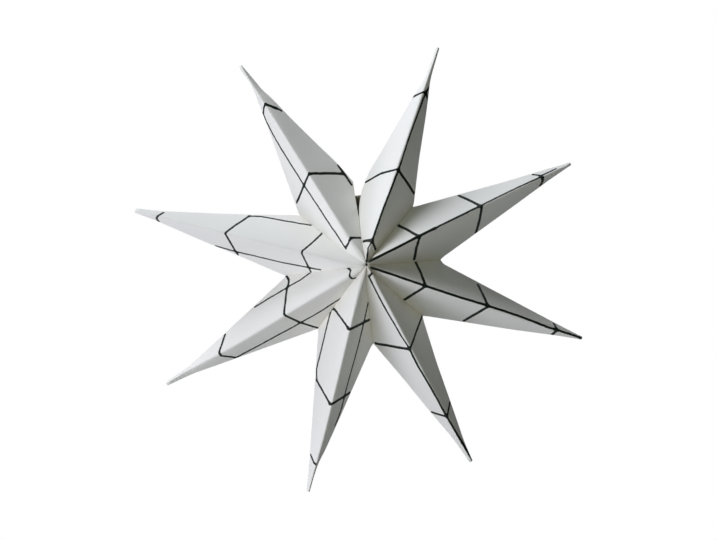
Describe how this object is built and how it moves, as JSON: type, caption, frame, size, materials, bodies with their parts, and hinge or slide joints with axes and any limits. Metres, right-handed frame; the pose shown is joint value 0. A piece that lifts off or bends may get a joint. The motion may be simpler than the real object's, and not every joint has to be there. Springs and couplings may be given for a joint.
{
  "type": "paper star ornament",
  "caption": "Hollow folded paper star with long pointed arms and thin dark green printed lines, closed at one seam and made to hang by it.",
  "frame": {"origin": "centre of the star, on the line through the middle of its front and its back, halfway between them", "axes": "+Z from the centre up to the seam, which is where the star hangs; -Y is the front that faces the viewer; +X is the viewer's right"},
  "size_m": [0.5731, 0.155, 0.5638],
  "materials": {
    "card": "matte uncoated card, printed with thin dark green lines",
    "tape": "double-sided adhesive tape"
  },
  "bodies": {
    "root": {"star_point_1": "card", "star_point_2": "card", "star_point_3": "card", "star_point_4": "card", "star_point_5": "card", "star_point_6": "card", "star_point_7": "card", "star_point_8": "card", "seam_tape_front": "tape", "seam_tape_back": "tape"}
  },
  "joints": []
}
